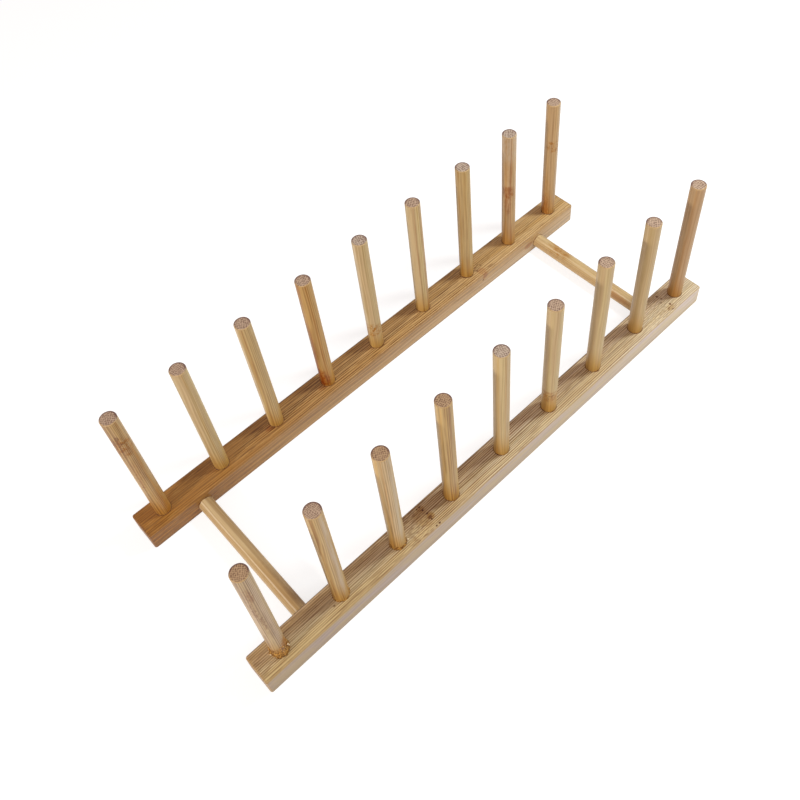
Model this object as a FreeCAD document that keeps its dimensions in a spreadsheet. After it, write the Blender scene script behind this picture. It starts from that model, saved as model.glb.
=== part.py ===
import FreeCAD, Part
import os

import Sketcher

# A bamboo plate rack: two parallel rails, a row of upright pegs in each rail and two cross dowels
# that tie the rails together. Lengths are in millimetres.
# The frame: X runs along the rails, Y from the front rail to the back rail, Z up from the table.
# The origin is at the middle of the rack, on the table.

doc = FreeCAD.newDocument("plate_rack")

SIZES = {
    # Rows of pegs: how many stand in each rail, and how far apart.
    "peg_count": 9,
    "peg_pitch": 38.0,
    # The rack's width over both rails.
    "rack_width": 120.0,
    # Rails: section, easing of every edge, and wood beyond the end pegs.
    "rail_width": 17.5,
    "rail_height": 14.5,
    "rail_edge_round": 1.3,
    "rail_end_margin": 14.75,
    # Pegs: thickness, height above the rail, easing of the tip, and wood left below the socket.
    "peg_diameter": 8.5,
    "peg_height": 90.0,
    "peg_tip_chamfer": 0.4,
    "peg_socket_floor": 4.5,
    # Cross dowels: thickness, and wood left below and behind the socket.
    "dowel_diameter": 8.5,
    "dowel_socket_floor": 2.0,
    "dowel_socket_back": 8.0,
    # Glue line all round a peg or dowel in its socket.
    "glue_gap": 0.05,
}

sheet = doc.addObject("Spreadsheet::Sheet", "Sizes")
for row, (alias, value) in enumerate(SIZES.items(), start=1):
    sheet.set(f"A{row}", alias)
    sheet.set(f"B{row}", str(value))
    sheet.setAlias(f"B{row}", alias)
doc.recompute()

# Sizes that follow from the ones in the sheet, written as expressions on its cells.
ROW_LENGTH = "(Sizes.peg_count - 1) * Sizes.peg_pitch"
ROW_OFFSET = "(Sizes.rack_width - Sizes.rail_width) / 2"
RAIL_LENGTH = f"({ROW_LENGTH} + 2 * Sizes.rail_end_margin)"
PEG_SOCKET_DEPTH = "(Sizes.rail_height - Sizes.peg_socket_floor)"
PEG_LENGTH = f"({PEG_SOCKET_DEPTH} + Sizes.peg_height)"
PEG_SOCKET_RADIUS = "(Sizes.peg_diameter / 2 + Sizes.glue_gap)"
DOWEL_SOCKET_DEPTH = "(Sizes.rail_width - Sizes.dowel_socket_back)"
DOWEL_SOCKET_RADIUS = "(Sizes.dowel_diameter / 2 + Sizes.glue_gap)"
DOWEL_LENGTH = "(Sizes.rack_width - 2 * Sizes.dowel_socket_back)"
DOWEL_HEIGHT = "(Sizes.dowel_socket_floor + Sizes.glue_gap + Sizes.dowel_diameter / 2)"
# The dowels stand midway between the last two pegs of each end.
DOWEL_SPACING = f"({ROW_LENGTH} - Sizes.peg_pitch)"


def origin_feature(body, role):
    for feature in body.Origin.OriginFeatures:
        if feature.Role == role:
            return feature
    raise ValueError(f"no origin feature {role}")


def new_body(label):
    body = doc.addObject("PartDesign::Body", label)
    body.Label = label
    return body


def new_sketch(body, name, plane_role):
    sketch = body.newObject("Sketcher::SketchObject", f"{body.Name}_{name}")
    sketch.AttachmentSupport = [(origin_feature(body, plane_role), "")]
    sketch.MapMode = "FlatFace"
    return sketch


def constrain(sketch, expression, *arguments):
    """Add a driving constraint and bind its size to an expression on the sheet."""
    index = sketch.addConstraint(Sketcher.Constraint(*arguments))
    sketch.setExpression(f"Constraints[{index}]", expression)


def draw_bar_section(sketch):
    """A rectangle that stands on the sketch's X axis, centred on its Y axis."""
    half_width = SIZES["rail_width"] / 2
    corners = [
        FreeCAD.Vector(-half_width, 0, 0),
        FreeCAD.Vector(half_width, 0, 0),
        FreeCAD.Vector(half_width, SIZES["rail_height"], 0),
        FreeCAD.Vector(-half_width, SIZES["rail_height"], 0),
    ]
    for start, end in zip(corners, corners[1:] + corners[:1]):
        sketch.addGeometry(Part.LineSegment(start, end), False)
    for line in range(4):
        sketch.addConstraint(Sketcher.Constraint("Coincident", line, 2, (line + 1) % 4, 1))
    sketch.addConstraint(Sketcher.Constraint("Vertical", 1))
    sketch.addConstraint(Sketcher.Constraint("Horizontal", 2))
    sketch.addConstraint(Sketcher.Constraint("Vertical", 3))
    sketch.addConstraint(Sketcher.Constraint("PointOnObject", 0, 1, -1))
    sketch.addConstraint(Sketcher.Constraint("Symmetric", 0, 1, 0, 2, -2))
    constrain(sketch, "Sizes.rail_width", "DistanceX", 0, 1, 0, 2, SIZES["rail_width"])
    constrain(sketch, "Sizes.rail_height", "DistanceY", 1, 1, 1, 2, SIZES["rail_height"])


def draw_socket_circle(sketch, radius, along, height=None):
    """A circle on the negative side of the sketch, where a row of sockets starts."""
    start = FreeCAD.Vector(-1, 1 if height else 0, 0)
    sketch.addGeometry(Part.Circle(start, FreeCAD.Vector(0, 0, 1), 1), False)
    constrain(sketch, radius, "Radius", 0, 1)
    constrain(sketch, along, "DistanceX", 0, 3, -1, 1, 1)
    if height:
        constrain(sketch, height, "DistanceY", -1, 1, 0, 3, 1)
    else:
        sketch.addConstraint(Sketcher.Constraint("PointOnObject", 0, 3, -1))


def row_of_sockets(body, sketch, name, depth, spacing, count):
    """Drill one blind socket from the sketch and repeat it along X."""
    pocket = body.newObject("PartDesign::Pocket", f"{body.Name}_{name}")
    pocket.Profile = sketch
    pocket.Type = "Length"
    pocket.setExpression("Length", depth)
    doc.recompute()
    row = body.newObject("PartDesign::LinearPattern", f"{body.Name}_{name}_row")
    row.Originals = [pocket]
    row.Direction = (origin_feature(body, "X_Axis"), [""])
    row.Mode = "Extent"
    row.setExpression("Length", spacing)
    row.setExpression("Occurrences", count)
    body.Tip = row
    doc.recompute()


def make_rail(label, side, turn):
    """A planed bar with eased edges, peg sockets in its top and dowel sockets in its inner side."""
    rail = new_body(label)

    section = new_sketch(rail, "section", "YZ_Plane")
    draw_bar_section(section)
    bar = rail.newObject("PartDesign::Pad", f"{label}_bar")
    bar.Profile = section
    bar.SideType = "Symmetric"
    bar.setExpression("Length", RAIL_LENGTH)
    doc.recompute()

    easing = rail.newObject("PartDesign::Fillet", f"{label}_easing")
    easing.Base = (bar, [f"Edge{number}" for number in range(1, len(bar.Shape.Edges) + 1)])
    easing.setExpression("Radius", "Sizes.rail_edge_round")
    doc.recompute()
    solid_volume = easing.Shape.Volume

    peg_mouth = new_sketch(rail, "peg_mouth", "XY_Plane")
    peg_mouth.setExpression("AttachmentOffset.Base.z", "Sizes.rail_height")
    draw_socket_circle(peg_mouth, PEG_SOCKET_RADIUS, f"{ROW_LENGTH} / 2")
    row_of_sockets(rail, peg_mouth, "peg_sockets", PEG_SOCKET_DEPTH, ROW_LENGTH, "Sizes.peg_count")
    volume_with_pegs = rail.Shape.Volume

    # The inner side faces -Y before the rail is turned to its place.
    dowel_mouth = new_sketch(rail, "dowel_mouth", "XZ_Plane")
    dowel_mouth.setExpression("AttachmentOffset.Base.z", "Sizes.rail_width / 2")
    draw_socket_circle(dowel_mouth, DOWEL_SOCKET_RADIUS, f"{DOWEL_SPACING} / 2", DOWEL_HEIGHT)
    row_of_sockets(rail, dowel_mouth, "dowel_sockets", DOWEL_SOCKET_DEPTH, DOWEL_SPACING, "2")

    # A socket that pointed out of the wood would leave the volume as it was.
    if not solid_volume > volume_with_pegs > rail.Shape.Volume:
        raise RuntimeError(f"{label}: a row of sockets cuts nothing")

    rail.Placement.Rotation = FreeCAD.Rotation(FreeCAD.Vector(0, 0, 1), turn)
    rail.setExpression("Placement.Base.y", f"{side} * {ROW_OFFSET}")
    return rail


def make_rod(label, diameter, length):
    """A round rod that stands on its own XY plane."""
    rod = new_body(label)
    outline = new_sketch(rod, "outline", "XY_Plane")
    outline.addGeometry(Part.Circle(FreeCAD.Vector(0, 0, 0), FreeCAD.Vector(0, 0, 1), 1), False)
    outline.addConstraint(Sketcher.Constraint("Coincident", 0, 3, -1, 1))
    constrain(outline, f"{diameter} / 2", "Radius", 0, 1)
    shank = rod.newObject("PartDesign::Pad", f"{label}_shank")
    shank.Profile = outline
    shank.setExpression("Length", length)
    doc.recompute()
    return rod, shank


def tip_edge(shape):
    """The name of the circular edge round a rod's upper end."""
    for number, edge in enumerate(shape.Edges, start=1):
        if edge.Closed and edge.CenterOfMass.z > shape.CenterOfMass.z:
            return f"Edge{number}"
    raise ValueError("the rod has no upper edge")


def make_peg(label, side, index):
    """An upright peg: a flat top with an eased rim, and a foot that stands on its socket's floor."""
    peg, shank = make_rod(label, "Sizes.peg_diameter", PEG_LENGTH)
    tip = peg.newObject("PartDesign::Chamfer", f"{label}_tip")
    tip.Base = (shank, [tip_edge(shank.Shape)])
    tip.setExpression("Size", "Sizes.peg_tip_chamfer")
    peg.setExpression("Placement.Base.x", f"{index} * Sizes.peg_pitch - {ROW_LENGTH} / 2")
    peg.setExpression("Placement.Base.y", f"{side} * {ROW_OFFSET}")
    peg.setExpression("Placement.Base.z", "Sizes.peg_socket_floor")
    return peg


def make_dowel(label, end):
    """A cross dowel that bottoms in a socket of each rail."""
    dowel, _ = make_rod(label, "Sizes.dowel_diameter", DOWEL_LENGTH)
    dowel.Placement.Rotation = FreeCAD.Rotation(FreeCAD.Vector(1, 0, 0), -90)
    dowel.setExpression("Placement.Base.x", f"{end} * {DOWEL_SPACING} / 2")
    dowel.setExpression("Placement.Base.y", f"-{DOWEL_LENGTH} / 2")
    dowel.setExpression("Placement.Base.z", DOWEL_HEIGHT)
    return dowel


FRONT = -1
BACK = 1

pieces = [
    make_rail("front_rail", FRONT, 180),
    make_rail("back_rail", BACK, 0),
    make_dowel("left_cross_dowel", -1),
    make_dowel("right_cross_dowel", 1),
]
for row_name, side in (("front", FRONT), ("back", BACK)):
    for index in range(SIZES["peg_count"]):
        pieces.append(make_peg(f"{row_name}_peg_{index + 1}", side, index))
doc.recompute()

for item in doc.Objects:
    if "Invalid" in item.State or "Error" in item.State:
        raise RuntimeError(f"{item.Label} did not build")
for piece in pieces:
    if piece.Shape.isNull() or not piece.Shape.isValid() or len(piece.Shape.Solids) != 1:
        raise RuntimeError(f"{piece.Label} is not one sound solid")

os.makedirs("parts", exist_ok=True)
for piece in pieces:
    piece.Shape.exportStep(f"parts/{piece.Label}.step")
    box = piece.Shape.BoundBox
    print(
        f"{piece.Label}: {piece.Shape.Volume:.1f} mm3, "
        f"x {box.XMin:.2f} to {box.XMax:.2f}, y {box.YMin:.2f} to {box.YMax:.2f}, "
        f"z {box.ZMin:.2f} to {box.ZMax:.2f}"
    )
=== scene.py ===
import math
import random

import bmesh
import bpy
from mathutils import Matrix, Vector, noise


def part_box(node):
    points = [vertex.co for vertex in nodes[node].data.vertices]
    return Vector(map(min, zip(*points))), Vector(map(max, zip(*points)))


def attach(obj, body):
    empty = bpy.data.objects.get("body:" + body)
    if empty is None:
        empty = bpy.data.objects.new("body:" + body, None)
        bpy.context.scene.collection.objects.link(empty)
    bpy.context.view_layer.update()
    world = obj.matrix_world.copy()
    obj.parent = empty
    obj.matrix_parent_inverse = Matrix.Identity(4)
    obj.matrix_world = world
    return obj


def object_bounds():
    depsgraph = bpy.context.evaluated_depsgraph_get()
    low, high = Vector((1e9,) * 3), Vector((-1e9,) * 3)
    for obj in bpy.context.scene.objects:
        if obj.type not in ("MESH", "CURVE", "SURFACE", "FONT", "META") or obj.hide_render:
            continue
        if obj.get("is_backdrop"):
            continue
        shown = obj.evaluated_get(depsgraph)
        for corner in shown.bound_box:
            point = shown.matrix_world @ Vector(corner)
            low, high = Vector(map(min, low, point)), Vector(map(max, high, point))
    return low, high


# A bamboo plate rack: two rails, two rows of turned pegs and two cross dowels, all carried over from
# the frame. This script gives them their wood, adds the glue where pegs and dowels enter the rails, and
# sets the studio. Lengths are in metres, and the wood and the glue are described in millimetres.

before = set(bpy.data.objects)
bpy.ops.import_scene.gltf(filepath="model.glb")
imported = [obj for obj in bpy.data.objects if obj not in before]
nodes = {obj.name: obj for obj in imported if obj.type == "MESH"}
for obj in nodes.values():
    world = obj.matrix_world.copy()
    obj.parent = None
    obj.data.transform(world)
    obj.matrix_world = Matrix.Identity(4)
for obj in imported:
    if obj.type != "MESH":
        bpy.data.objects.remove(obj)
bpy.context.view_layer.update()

MM = 0.001
RAIL_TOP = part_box("front_rail")[1].z
PEG_NUMBERS = range(1, 10)


def srgb(red, green, blue):
    """A colour as it looks on screen, 0 to 255, turned into the linear values that shaders take."""
    linear = []
    for value in (red, green, blue):
        share = value / 255
        linear.append(share / 12.92 if share <= 0.04045 else ((share + 0.055) / 1.055) ** 2.4)
    return (*linear, 1.0)


# Shader building blocks

# The sockets of a mix node that hold colours.
MIX_FACTOR, MIX_FIRST, MIX_SECOND, MIX_RESULT = 0, 6, 7, 2
# Every noise varies about this value, and these are steps through the middle of its range.
NOISE_MEAN = 0.5
SOFT_STEP = (0.3, 0.6)
EVEN_STEP = (0.36, 0.64)
# How far one piece's wood lies from the next one's in the noise, so that no two are alike.
SEED_STEP = (37.0, 61.0, 211.0)


def add_node(tree, kind, inputs=(), **settings):
    """Add a node, set its properties, and feed its inputs from sockets or plain values."""
    made = tree.nodes.new(kind)
    for name, value in settings.items():
        setattr(made, name, value)
    for key, value in dict(inputs).items():
        if isinstance(value, bpy.types.NodeSocket):
            tree.links.new(value, made.inputs[key])
        else:
            made.inputs[key].default_value = value
    return made


def calc(tree, operation, *values, clamp=False):
    made = add_node(tree, "ShaderNodeMath", enumerate(values), operation=operation, use_clamp=clamp)
    return made.outputs[0]


def product(tree, first, *others):
    """The values multiplied together."""
    for other in others:
        first = calc(tree, "MULTIPLY", first, other)
    return first


def between(tree, share, low, high):
    """The value that lies a share, 0 to 1, of the way from low to high."""
    return calc(tree, "MULTIPLY_ADD", share, high - low, low)


def centred(tree, value):
    """A noise, less its mean."""
    return calc(tree, "SUBTRACT", value, NOISE_MEAN)


def vector_calc(tree, operation, *values):
    made = add_node(tree, "ShaderNodeVectorMath", enumerate(values), operation=operation)
    return made.outputs[0]


def scaled(tree, vector, factor):
    made = add_node(tree, "ShaderNodeVectorMath", {0: vector, "Scale": factor}, operation="SCALE")
    return made.outputs[0]


def split(tree, vector):
    return add_node(tree, "ShaderNodeSeparateXYZ", {0: vector}).outputs


def ease(tree, value, start, end):
    """0 before start, 1 after end, and a smooth step between; start may be the larger."""
    inputs = {"Value": value, "From Min": start, "From Max": end}
    made = add_node(tree, "ShaderNodeMapRange", inputs, interpolation_type="SMOOTHSTEP")
    return made.outputs["Result"]


def blend_colour(tree, factor, first, second, mode="MIX"):
    inputs = {MIX_FACTOR: factor, MIX_FIRST: first, MIX_SECOND: second}
    settings = {"data_type": "RGBA", "blend_type": mode, "clamp_factor": True}
    return add_node(tree, "ShaderNodeMix", inputs, **settings).outputs[MIX_RESULT]


def streaks(tree, grain, across, along, detail=1.0):
    """Noise drawn out along the fibres: a feature is about `across` mm wide and `along` mm long."""
    stretched = vector_calc(tree, "MULTIPLY", grain, (1 / across, 1 / across, 1 / along))
    made = add_node(tree, "ShaderNodeTexNoise", {"Vector": stretched, "Scale": 1.0, "Detail": detail})
    return made.outputs["Fac"]


def cells(tree, place, scale, scatter):
    """Cells across the fibres: a point's distance from its cell's middle, and a colour for each cell."""
    inputs = {"Vector": place, "Scale": scale, "Randomness": scatter}
    return add_node(tree, "ShaderNodeTexVoronoi", inputs, voronoi_dimensions="2D").outputs


def push(tree, place, scale, detail, reach):
    """A push that changes from place to place, at most half of `reach` mm to either side of each axis."""
    made = add_node(tree, "ShaderNodeTexNoise", {"Vector": place, "Scale": scale, "Detail": detail})
    unit = vector_calc(tree, "SUBTRACT", made.outputs["Color"], (NOISE_MEAN, NOISE_MEAN, NOISE_MEAN))
    return vector_calc(tree, "MULTIPLY", unit, reach)


def grain_space(tree, axis, centre, seed):
    """Millimetres about a point, with the third axis along the fibres, and the same moved by a seed."""
    place = add_node(tree, "ShaderNodeTexCoord").outputs["Object"]
    x, y, z = split(tree, scaled(tree, vector_calc(tree, "SUBTRACT", place, centre), 1 / MM))
    order = {"X": (y, z, x), "Y": (z, x, y), "Z": (x, y, z)}[axis]
    straight = add_node(tree, "ShaderNodeCombineXYZ", enumerate(order)).outputs[0]
    shifted = vector_calc(tree, "ADD", straight, tuple(seed * step for step in SEED_STEP))
    return straight, shifted


# The wood in general

# Sizes of what shows in it, in mm across the fibres and along them.
BAND = (2.6, 130.0)
HUE_BAND = (3.0, 150.0)
FINE_FIBRE = (0.55, 24.0)
BUNDLE_FADE = (1.3, 16.0)
COMB_DRIFT = (2.2, 170.0)
COMB_FADE = (1.5, 15.0)
PORE_CROWD = (3.2, 3.2)
# How fast the fibres wander, per mm across and along, and how far, in mm.
SWAY_RATE = (0.05, 0.05, 0.014)
SWAY_REACH = (1.8, 1.8, 0.0)
# Another place in the noise, and the most that the ground takes of its second hue.
HUE_PLACE = (71.0, 23.0, 400.0)
HUE_SHARE = 0.7
# Bundles of fibre: how scattered they are, where their edge begins and ends, in cells, the step by which
# they fade, their least depth, and how much of it is left where they fade.
BUNDLE_SCATTER = 0.7
BUNDLE_EDGE = (0.42, 0.1)
BUNDLE_STEP = (0.32, 0.6)
LEAST_DEPTH = 0.25
LEAST_BUNDLE = 0.3
# Fine lines: speed of their wave in both directions across the fibres, in radians per mm, its drift, in
# radians, which part of it is a light line and which a dark one, and what is left where they fade.
COMB_RATE = (0.95 * math.tau, 0.4 * math.tau)
COMB_SHIFT = 9.0
LIGHT_LINE = (-0.1, -0.95)
DARK_LINE = (-0.05, 0.75)
LEAST_COMB = 0.4
# Tone of the plain ground, 0 dark to 1 light, what each kind of fibre adds to it, and a bundle's relief.
GROUND_TONE = 0.78
FINE_TONE = 0.5
BUNDLE_TONE = -0.4
COMB_TONE = 0.8
BUNDLE_GROOVE = -0.5
# Pores on a cut end: how scattered they are, the push on them, their edge, in cells, how strongly they
# show where they are few and where they crowd, and their colour.
PORE_SCATTER = 0.3
PORE_STIR = {"scale": 0.35, "detail": 1.0, "reach": (1.5, 1.5, 0.0)}
PORE_EDGE = (0.52, 0.24)
PORE_SHARES = (0.44, 0.74)
PORE_COLOUR = srgb(88, 50, 36)

# What the wood is made from, and what it gives.
WOOD_INPUTS = {
    "Grain": "Vector",
    "Light": "Color",
    "Dark": "Color",
    "Tint": "Color",
    "Lines": "Float",
    "Bands": "Float",
    "Density": "Float",
    "End": "Float",
    "Cut": "Color",
    "Dots": "Float",
    "Turn": "Float",
}
WOOD_OUTPUTS = {"Colour": "Color", "Relief": "Float"}


def bamboo_group():
    """The wood itself, as a solid: fibre bundles in a paler ground, all running along the third axis."""
    group = bpy.data.node_groups.new("bamboo", "ShaderNodeTree")
    for in_out, sockets in (("INPUT", WOOD_INPUTS), ("OUTPUT", WOOD_OUTPUTS)):
        for name, kind in sockets.items():
            group.interface.new_socket(name, in_out=in_out, socket_type="NodeSocket" + kind)
    given = group.nodes.new("NodeGroupInput").outputs

    # Fibres wander a little from side to side along their length.
    slow = vector_calc(group, "MULTIPLY", given["Grain"], SWAY_RATE)
    sway = push(group, slow, scale=1.0, detail=1.0, reach=SWAY_REACH)
    grain = vector_calc(group, "ADD", given["Grain"], sway)

    # The ground drifts between two hues in broad bands, and has a fine fibre texture.
    band = centred(group, streaks(group, grain, *BAND))
    elsewhere = vector_calc(group, "ADD", grain, HUE_PLACE)
    hue = ease(group, streaks(group, elsewhere, *HUE_BAND), *EVEN_STEP)
    light = blend_colour(group, product(group, hue, HUE_SHARE), given["Light"], given["Tint"])
    fine = centred(group, ease(group, streaks(group, grain, *FINE_FIBRE, detail=0.0), *EVEN_STEP))

    # Bundles of fibre: thin dark lines along the sides, each with its own depth, which fade in and out.
    packed = scaled(group, grain, given["Density"])
    bundles = cells(group, packed, 1.0, BUNDLE_SCATTER)
    own = add_node(group, "ShaderNodeSeparateColor", {0: bundles["Color"]}).outputs[0]
    fade = ease(group, streaks(group, grain, *BUNDLE_FADE, detail=2.0), *BUNDLE_STEP)
    depth = product(group, between(group, own, LEAST_DEPTH, 1.0), between(group, fade, LEAST_BUNDLE, 1.0))
    line = product(group, ease(group, bundles["Distance"], *BUNDLE_EDGE), depth)

    # Between them run fine dark lines, nearly evenly spaced, with light ones beside them.
    x, y, _ = split(group, packed)
    phase = calc(group, "MULTIPLY_ADD", x, COMB_RATE[0], product(group, y, COMB_RATE[1]))
    drift = streaks(group, grain, *COMB_DRIFT)
    wave = calc(group, "SINE", calc(group, "MULTIPLY_ADD", drift, COMB_SHIFT, phase))
    comb = calc(group, "SUBTRACT", ease(group, wave, *LIGHT_LINE), ease(group, wave, *DARK_LINE))
    waning = ease(group, streaks(group, elsewhere, *COMB_FADE), *SOFT_STEP)
    comb = product(group, comb, between(group, waning, LEAST_COMB, 1.0))

    tone = calc(group, "MULTIPLY_ADD", fine, FINE_TONE, product(group, line, BUNDLE_TONE))
    tone = calc(group, "MULTIPLY_ADD", comb, COMB_TONE, tone)
    tone = calc(group, "MULTIPLY_ADD", tone, given["Lines"], GROUND_TONE)
    tone = calc(group, "MULTIPLY_ADD", band, given["Bands"], tone, clamp=True)
    side_colour = blend_colour(group, tone, given["Dark"], light)

    # On a cut end the bundles are dark dots in a ground of its own colour.
    inputs = {"Vector": grain, "Angle": given["Turn"]}
    turned = add_node(group, "ShaderNodeVectorRotate", inputs, rotation_type="Z_AXIS").outputs[0]
    stirred = vector_calc(group, "ADD", turned, push(group, grain, **PORE_STIR))
    pores = cells(group, stirred, given["Dots"], PORE_SCATTER)
    crowded = ease(group, streaks(group, grain, *PORE_CROWD), *SOFT_STEP)
    dot = ease(group, pores["Distance"], *PORE_EDGE)
    dot = product(group, dot, between(group, crowded, *PORE_SHARES))
    end_colour = blend_colour(group, dot, given["Cut"], PORE_COLOUR)

    colour = blend_colour(group, given["End"], side_colour, end_colour)
    relief = calc(group, "MULTIPLY_ADD", line, BUNDLE_GROOVE, fine)
    add_node(group, "NodeGroupOutput", {"Colour": colour, "Relief": relief})
    return group


BAMBOO = bamboo_group()


def bamboo(tree, grain, tone, lines, bands, density, end, cut, dots=0.95, turn=0.6):
    """The wood's colour and relief at a point. The tone is a light, a dark and a second light colour."""
    values = (grain, *tone, lines, bands, density, end, cut, dots, turn)
    made = add_node(tree, "ShaderNodeGroup", zip(WOOD_INPUTS, values), node_tree=BAMBOO)
    return made.outputs["Colour"], made.outputs["Relief"]


def new_material(name):
    made = bpy.data.materials.new(name)
    made.use_nodes = True
    made.node_tree.nodes.clear()
    return made, made.node_tree


SATIN_ROUGHNESS = 0.42
SATIN_SPECULAR = 0.3
RELIEF_DEPTH = 0.02 * MM


def satin(tree, colour, relief, roughness=SATIN_ROUGHNESS):
    """A sanded and oiled surface: the wood's colour, a soft gloss and the slight relief of the fibres."""
    bump = add_node(tree, "ShaderNodeBump", {"Height": relief, "Distance": RELIEF_DEPTH, "Strength": 1.0})
    inputs = {
        "Base Color": colour,
        "Roughness": roughness,
        "Specular IOR Level": SATIN_SPECULAR,
        "Normal": bump.outputs["Normal"],
    }
    shader = add_node(tree, "ShaderNodeBsdfPrincipled", inputs)
    add_node(tree, "ShaderNodeOutputMaterial", {"Surface": shader.outputs["BSDF"]})


# Marks on the wood

# The share of a soft band's half width that is at full strength.
BAND_CORE = 0.3
# Where a mark starts and where it is full, in half sizes, and how fast its outline changes, per mm.
MARK_EDGE = (1.0, 0.5)
CROOKED_RATE = 0.55
# Scars: size of blots and of the ripple whose crossings are thin lines, in mm, the steps that draw them,
# how strong the lines are, and how much shows between them.
BLOT = (1.9, 2.6)
BLOT_STEP = (0.5, 0.58)
RIPPLE = (2.8, 2.0)
RIPPLE_PLACE = (19.0, 7.0, 53.0)
RIPPLE_STEP = (0.05, 0.015)
RIPPLE_SHARE = 0.7
SCAR_GROUND = 0.14
# Streaks: size and reach of their bends, size of their breaks, and where they end round a shaft, in mm.
STREAK_BEND = (8.0, 40.0)
STREAK_BEND_REACH = 1.6
STREAK_BREAK = (1.2, 22.0)
STREAK_TURN = (0.0, 2.0)


def facing(tree, axis):
    """How squarely the surface faces along an axis, 0 to 1, on either side."""
    normal = add_node(tree, "ShaderNodeNewGeometry").outputs["Normal"]
    return calc(tree, "ABSOLUTE", split(tree, normal)[axis])


def toward(tree, straight, angle):
    """How far a point of a shaft lies toward a direction across it, and how far beside that, in mm."""
    turn = math.radians(angle)
    x, y, _ = split(tree, straight)
    ahead = calc(tree, "MULTIPLY_ADD", x, math.cos(turn), product(tree, y, math.sin(turn)))
    beside = calc(tree, "MULTIPLY_ADD", x, -math.sin(turn), product(tree, y, math.cos(turn)))
    return ahead, beside


def near(tree, value, place, half_width):
    """1 about a place, falling softly to 0 at half_width from it."""
    distance = calc(tree, "ABSOLUTE", calc(tree, "SUBTRACT", value, place))
    return ease(tree, distance, half_width, half_width * BAND_CORE)


def crooked(tree, straight, shifted, reach):
    """The same place, pushed about within `reach` mm, so that what is drawn there has an uneven edge."""
    pushed = push(tree, shifted, scale=CROOKED_RATE, detail=2.0, reach=(reach, reach, reach))
    return vector_calc(tree, "ADD", straight, pushed)


def scrawl(tree, shifted):
    """Small dark blots and thin crooked lines, such as the scars at a culm node, 0 to 1."""
    blots = ease(tree, streaks(tree, shifted, *BLOT), *BLOT_STEP)
    elsewhere = vector_calc(tree, "ADD", shifted, RIPPLE_PLACE)
    ripple = centred(tree, streaks(tree, elsewhere, *RIPPLE))
    lines = product(tree, ease(tree, calc(tree, "ABSOLUTE", ripple), *RIPPLE_STEP), RIPPLE_SHARE)
    return between(tree, calc(tree, "MAXIMUM", lines, blots), SCAR_GROUND, 1.0)


def mark(tree, place, colour, middle, size, strength, stain):
    """A stain about a point. The strength is a number or a socket."""
    offset = vector_calc(tree, "DIVIDE", vector_calc(tree, "SUBTRACT", place, middle), size)
    reach = add_node(tree, "ShaderNodeVectorMath", {0: offset}, operation="LENGTH").outputs["Value"]
    return blend_colour(tree, product(tree, ease(tree, reach, *MARK_EDGE), strength), colour, *stain)


def stripe(tree, straight, shifted, colour, angle, half_width, strength, stain):
    """A single streak that runs the length of a shaft on one side."""
    ahead, beside = toward(tree, straight, angle)
    bend = centred(tree, streaks(tree, shifted, *STREAK_BEND, detail=2.0))
    band = near(tree, calc(tree, "MULTIPLY_ADD", bend, STREAK_BEND_REACH, beside), 0.0, half_width)
    broken = ease(tree, streaks(tree, shifted, *STREAK_BREAK, detail=2.0), *SOFT_STEP)
    band = product(tree, band, ease(tree, ahead, *STREAK_TURN), broken, strength)
    return blend_colour(tree, band, colour, *stain)


# The wood of each piece

# Tones: a light colour, a dark one and a second light one.
STRAW = (srgb(207, 188, 137), srgb(150, 115, 64), srgb(204, 180, 138))
HONEY = (srgb(202, 178, 125), srgb(142, 104, 55), srgb(192, 160, 98))
GOLD = (srgb(196, 160, 96), srgb(140, 94, 38), srgb(200, 168, 108))
AMBER = (srgb(202, 174, 124), srgb(126, 88, 46), srgb(190, 157, 94))
ASH = (srgb(199, 177, 143), srgb(126, 97, 69), srgb(193, 172, 126))
ROSE = (srgb(199, 170, 127), srgb(146, 110, 71), srgb(190, 155, 111))
BUFF = (srgb(202, 173, 128), srgb(146, 108, 64), srgb(196, 163, 112))
PALE = (srgb(212, 188, 142), srgb(164, 126, 80), srgb(204, 174, 120))

# Stains, and colours of painted light: those that multiply let the wood show through, and the others cover
# it.
SCAR = (srgb(222, 176, 80), "MULTIPLY")
BRUISE = (srgb(203, 180, 168), "MULTIPLY")
RUST = (srgb(209, 158, 118), "MULTIPLY")
OCHRE = (srgb(218, 188, 134), "MULTIPLY")
GOLDEN = (srgb(246, 219, 168), "MULTIPLY")
BROWN = (srgb(104, 60, 26), "MIX")
PORE = (srgb(92, 54, 24), "MIX")
DOVE = (srgb(198, 184, 162), "MIX")
# Painted light on the left sides of some pegs.
PAINTED_LIGHT_GILT = (srgb(214, 178, 110), "MIX")
# A painted highlight along the dowels, and painted light on the left sides of some pegs.
PAINTED_LIGHT_CREAM = (srgb(238, 220, 184), "MIX")
TAN = (srgb(140, 98, 58), "MIX")

# Dashes at a culm node, and the flecks that gleam.
NODE_DARK = srgb(142, 104, 60)
NODE_LIGHT = srgb(228, 200, 146)
GLEAM = srgb(128, 108, 66)

# The ground of the cut ends.
CUT_TAN = srgb(184, 153, 118)
CUT_ROSE = srgb(191, 165, 140)
CUT_GREY = srgb(194, 175, 155)
CUT_BROWN = srgb(172, 142, 98)
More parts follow.
